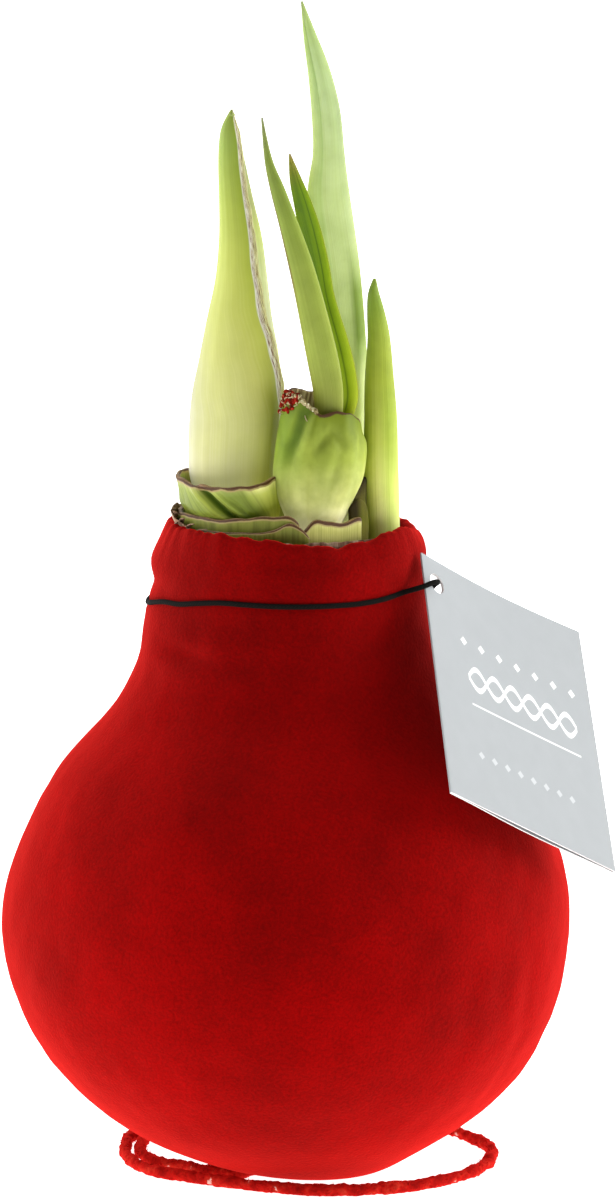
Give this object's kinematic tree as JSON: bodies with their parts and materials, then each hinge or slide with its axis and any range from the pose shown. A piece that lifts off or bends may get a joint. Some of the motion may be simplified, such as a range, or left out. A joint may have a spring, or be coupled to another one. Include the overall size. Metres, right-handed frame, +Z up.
{
  "type": "amaryllis bulb",
  "caption": "Sprouting amaryllis bulb in a velvet-flocked wax coat, standing on a flat wire spiral, with cut neck scales, a bud, strap leaves and a folded card tag on an elastic loop.",
  "frame": {"origin": "middle of the small flat spot under the bulb, on the surface it stands on", "axes": "+Z up along the bulb and its leaves, -Y towards the front, +X to the right seen from the front, where the tag hangs"},
  "size_m": [0.1076, 0.1, 0.2079],
  "materials": {
    "velvet": "short upright red flock on wax, matt with a bright sheen at grazing angles",
    "wire_velvet": "the same red flock in ragged clumps on steel wire",
    "bulb_flesh": "moist pale green plant tissue",
    "dried_skin": "dry brown papery skin",
    "scale_green": "smooth yellow-green bulb scale with a dried brown cut edge",
    "sheath_green": "smooth ribbed green leaf base, paler towards its foot",
    "bud_green": "smooth pale green spathe, cream at its foot",
    "leaf_green": "satin green strap leaf with fine lengthwise veins",
    "pale_leaf": "satin pale green strap leaf",
    "card": "matt cool grey printed card with white cut edges",
    "elastic": "black covered elastic"
  },
  "bodies": {
    "root": {"wire_stand": "wire_velvet", "velvet_coat": "velvet", "bulb": "bulb_flesh", "papery_skin": "dried_skin", "cut_scale_left": "scale_green", "cut_scale_right": "scale_green", "cut_collar": "scale_green", "inner_scale": "scale_green", "leaf_sheath": "sheath_green", "leaf_front": "leaf_green", "leaf_inner": "leaf_green", "leaf_tall": "pale_leaf", "leaf_right": "leaf_green", "bud_front_valve": "bud_green", "bud_back_valve": "bud_green", "tag_cord": "elastic", "hang_tag": "card"}
  },
  "joints": []
}
